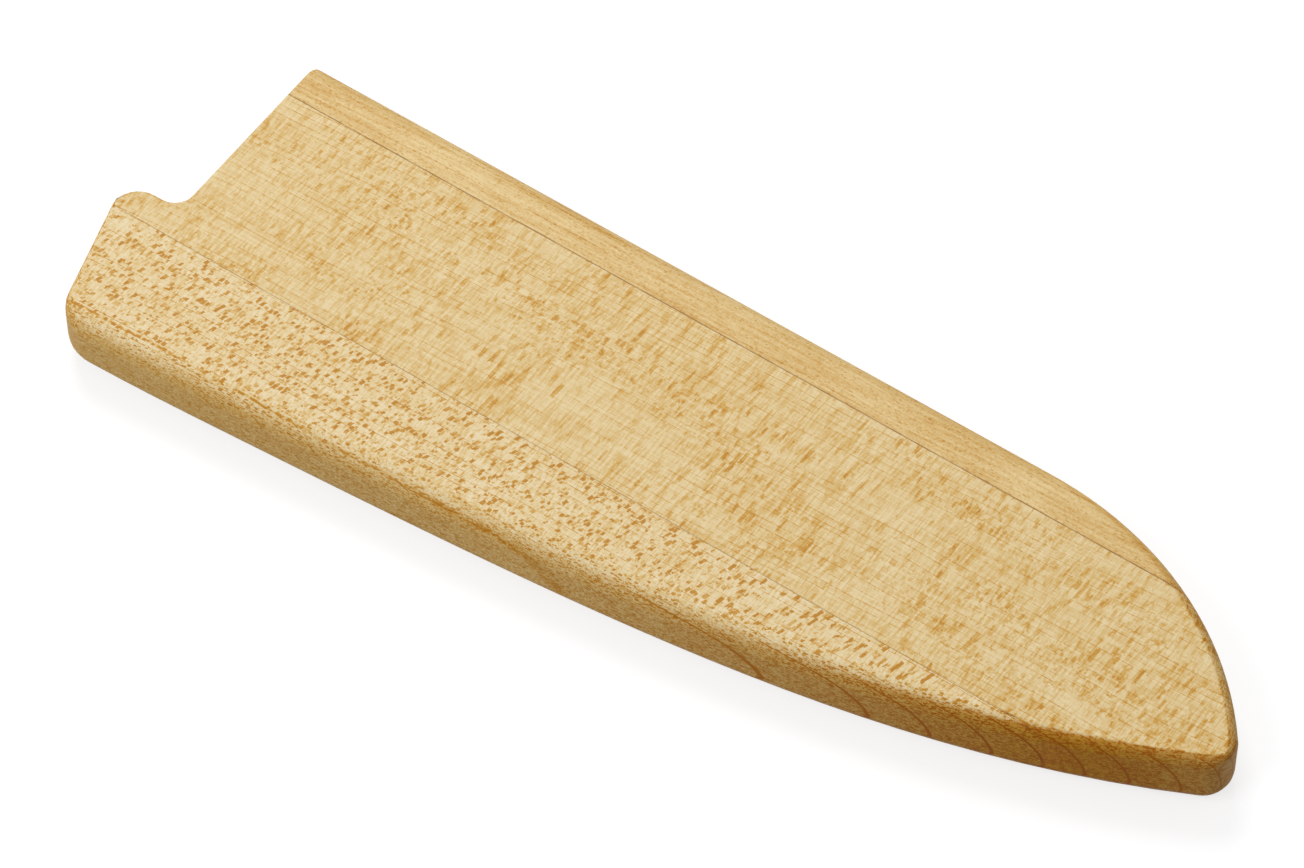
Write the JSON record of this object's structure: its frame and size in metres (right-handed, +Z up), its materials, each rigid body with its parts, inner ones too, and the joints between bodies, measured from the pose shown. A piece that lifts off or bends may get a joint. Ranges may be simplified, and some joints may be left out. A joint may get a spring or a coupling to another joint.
{
  "type": "knife blade guard",
  "caption": "Slim wooden sheath that a wide kitchen knife's blade slides into, with a heel lip and a notch at its mouth and a rounded nose.",
  "frame": {"origin": "middle of the guard's box in plan, on the back face that it lies on", "axes": "+X from the mouth to the tip along the seams, +Y from the edge side to the spine side, +Z up out of the front face"},
  "size_m": [0.2205, 0.071, 0.0125],
  "materials": {
    "spine_maple": "plain flat-sawn maple, sanded and oiled to a low sheen",
    "middle_maple": "quarter-sawn maple with soft fleck, sanded and oiled to a low sheen",
    "edge_maple": "quarter-sawn maple with dense orange fleck, sanded and oiled to a low sheen",
    "magnet_nickel": "bright nickel plate"
  },
  "bodies": {
    "root": {"front_spine_stave": "spine_maple", "front_middle_stave": "middle_maple", "front_edge_stave": "edge_maple", "back_spine_stave": "spine_maple", "back_middle_stave": "middle_maple", "back_edge_stave": "edge_maple", "magnet_heel": "magnet_nickel", "magnet_middle": "magnet_nickel", "magnet_tip": "magnet_nickel"}
  },
  "joints": []
}
